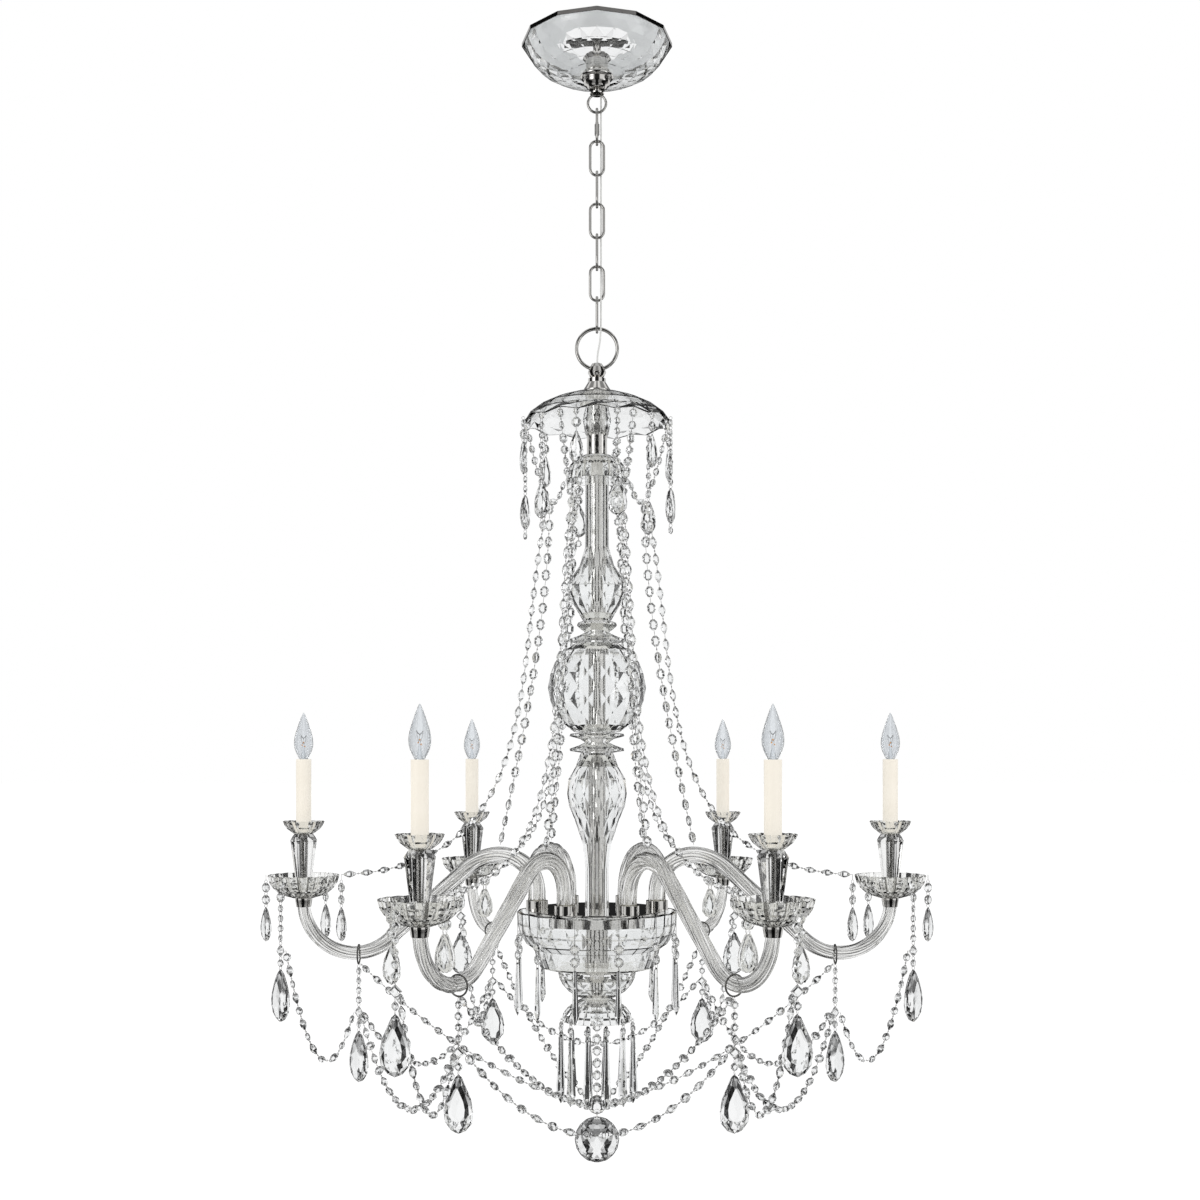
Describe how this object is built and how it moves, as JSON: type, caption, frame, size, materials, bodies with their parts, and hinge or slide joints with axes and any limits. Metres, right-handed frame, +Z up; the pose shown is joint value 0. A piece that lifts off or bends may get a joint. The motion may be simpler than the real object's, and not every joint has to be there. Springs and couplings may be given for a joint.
{
  "type": "crystal chandelier",
  "caption": "Chain-hung crystal chandelier: cut-glass column, curved glass arms with candle lamps, bead swags and almond drops.",
  "frame": {"origin": "middle of the ceiling plane, on the mounting strap's upper face, between its two slots", "axes": "+Z up into the ceiling, -Y towards the viewer, +X to the viewer's right, with an arm along +X"},
  "size_m": [1.113, 0.9728, 1.8454],
  "materials": {
    "nickel": "polished nickel",
    "crystal": "clear cut crystal",
    "candle_ivory": "matt ivory candle tube",
    "bulb_glass": "clear blown glass",
    "cord_clear": "clear insulation over tinned strands"
  },
  "bodies": {
    "canopy": {"ceiling_plate": "nickel", "mounting_strap": "nickel", "canopy_dish": "crystal", "canopy_loop": "nickel", "supply_cord": "cord_clear"},
    "collar": {"canopy_collar": "nickel"},
    "link_1": {"quick_link": "nickel"},
    "link_2": {"chain_link_2": "nickel"},
    "link_3": {"chain_link_3": "nickel"},
    "link_4": {"chain_link_4": "nickel"},
    "link_5": {"chain_link_5": "nickel"},
    "link_6": {"chain_link_6": "nickel"},
    "link_7": {"chain_link_7": "nickel"},
    "ring": {"suspension_ring": "nickel"},
    "fixture": {"ring_holder": "nickel", "crown_dish": "crystal", "crown_ball": "crystal", "crown_sleeve": "nickel", "receiver_dish": "crystal", "upper_urn": "crystal", "upper_saucer": "crystal", "centre_ball": "crystal", "lower_saucer": "crystal", "lower_urn": "crystal", "centre_tube": "nickel", "arm_plate": "nickel", "hub_cup": "nickel", "hub_bowl": "crystal", "half_ball": "crystal", "prism_dish": "crystal", "end_cap": "nickel", "glass_arm_1": "crystal", "glass_arm_2": "crystal", "glass_arm_3": "crystal", "glass_arm_4": "crystal", "glass_arm_5": "crystal", "glass_arm_6": "crystal", "arm_ferrules": "nickel", "drip_pans": "crystal", "candle_posts": "crystal", "candle_dishes": "crystal", "lamp_sockets": "nickel", "candle_sleeves": "candle_ivory", "arm_hooks": "nickel", "rim_drops": "crystal", "prism_ring": "crystal", "bead_strings": "crystal"},
    "lamp_1": {"bulb_1": "bulb_glass"},
    "lamp_2": {"bulb_2": "bulb_glass"},
    "lamp_3": {"bulb_3": "bulb_glass"},
    "lamp_4": {"bulb_4": "bulb_glass"},
    "lamp_5": {"bulb_5": "bulb_glass"},
    "lamp_6": {"bulb_6": "bulb_glass"},
    "drop_1": {"pendant_1": "crystal"},
    "drop_2": {"pendant_2": "crystal"},
    "drop_3": {"pendant_3": "crystal"},
    "drop_4": {"pendant_4": "crystal"},
    "drop_5": {"pendant_5": "crystal"},
    "drop_6": {"pendant_6": "crystal"},
    "finial": {"finial_ball": "crystal"}
  },
  "joints": [
    {"name": "collar_slide", "type": "slide", "parent": "canopy", "child": "collar", "axis": [0, 0, -1], "range_m": [0, 0.004]},
    {"name": "link_1_swing", "type": "hinge", "parent": "canopy", "child": "link_1", "pos_m": [0, 0, -0.1144], "axis": [1, 0, 0], "range_deg": [-8, 8], "deforming": ["supply_cord"]},
    {"name": "link_2_swing", "type": "hinge", "parent": "link_1", "child": "link_2", "pos_m": [0, 0, -0.16625], "axis": [0, 1, 0], "range_deg": [-8, 8]},
    {"name": "link_3_swing", "type": "hinge", "parent": "link_2", "child": "link_3", "pos_m": [0, 0, -0.21795], "axis": [1, 0, 0], "range_deg": [-8, 8]},
    {"name": "link_4_swing", "type": "hinge", "parent": "link_3", "child": "link_4", "pos_m": [0, 0, -0.26965], "axis": [0, 1, 0], "range_deg": [-8, 8]},
    {"name": "link_5_swing", "type": "hinge", "parent": "link_4", "child": "link_5", "pos_m": [0, 0, -0.32135], "axis": [1, 0, 0], "range_deg": [-8, 8]},
    {"name": "link_6_swing", "type": "hinge", "parent": "link_5", "child": "link_6", "pos_m": [0, 0, -0.37305], "axis": [0, 1, 0], "range_deg": [-8, 8]},
    {"name": "link_7_swing", "type": "hinge", "parent": "link_6", "child": "link_7", "pos_m": [0, 0, -0.42475], "axis": [1, 0, 0], "range_deg": [-8, 8]},
    {"name": "ring_swing", "type": "hinge", "parent": "link_7", "child": "ring", "pos_m": [0, 0, -0.47645], "axis": [0, 1, 0], "range_deg": [-8, 8]},
    {"name": "fixture_swing", "type": "hinge", "parent": "ring", "child": "fixture", "pos_m": [0, 0, -0.5382], "axis": [1, 0, 0], "range_deg": [-12, 12]},
    {"name": "bulb_1_out", "type": "slide", "parent": "fixture", "child": "lamp_1", "axis": [0, 0, 1], "range_m": [0, 0.02]},
    {"name": "bulb_2_out", "type": "slide", "parent": "fixture", "child": "lamp_2", "axis": [0, 0, 1], "range_m": [0, 0.02]},
    {"name": "bulb_3_out", "type": "slide", "parent": "fixture", "child": "lamp_3", "axis": [0, 0, 1], "range_m": [0, 0.02]},
    {"name": "bulb_4_out", "type": "slide", "parent": "fixture", "child": "lamp_4", "axis": [0, 0, 1], "range_m": [0, 0.02]},
    {"name": "bulb_5_out", "type": "slide", "parent": "fixture", "child": "lamp_5", "axis": [0, 0, 1], "range_m": [0, 0.02]},
    {"name": "bulb_6_out", "type": "slide", "parent": "fixture", "child": "lamp_6", "axis": [0, 0, 1], "range_m": [0, 0.02]},
    {"name": "pendant_1_swing", "type": "hinge", "parent": "fixture", "child": "drop_1", "pos_m": [0.393, 0, -1.62475], "axis": [0, 1, 0], "range_deg": [-30, 30]},
    {"name": "pendant_2_swing", "type": "hinge", "parent": "fixture", "child": "drop_2", "pos_m": [0.1965, 0.34035, -1.62475], "axis": [-0.866, 0.5, 0], "range_deg": [-30, 30]},
    {"name": "pendant_3_swing", "type": "hinge", "parent": "fixture", "child": "drop_3", "pos_m": [-0.1965, 0.34035, -1.62475], "axis": [-0.866, -0.5, 0], "range_deg": [-30, 30]},
    {"name": "pendant_4_swing", "type": "hinge", "parent": "fixture", "child": "drop_4", "pos_m": [-0.393, 0, -1.62475], "axis": [0, -1, 0], "range_deg": [-30, 30]},
    {"name": "pendant_5_swing", "type": "hinge", "parent": "fixture", "child": "drop_5", "pos_m": [-0.1965, -0.34035, -1.62475], "axis": [0.866, -0.5, 0], "range_deg": [-30, 30]},
    {"name": "pendant_6_swing", "type": "hinge", "parent": "fixture", "child": "drop_6", "pos_m": [0.1965, -0.34035, -1.62475], "axis": [0.866, 0.5, 0], "range_deg": [-30, 30]},
    {"name": "finial_swing", "type": "hinge", "parent": "fixture", "child": "finial", "pos_m": [0, 0, -1.7674], "axis": [1, 0, 0], "range_deg": [-30, 30]}
  ]
}
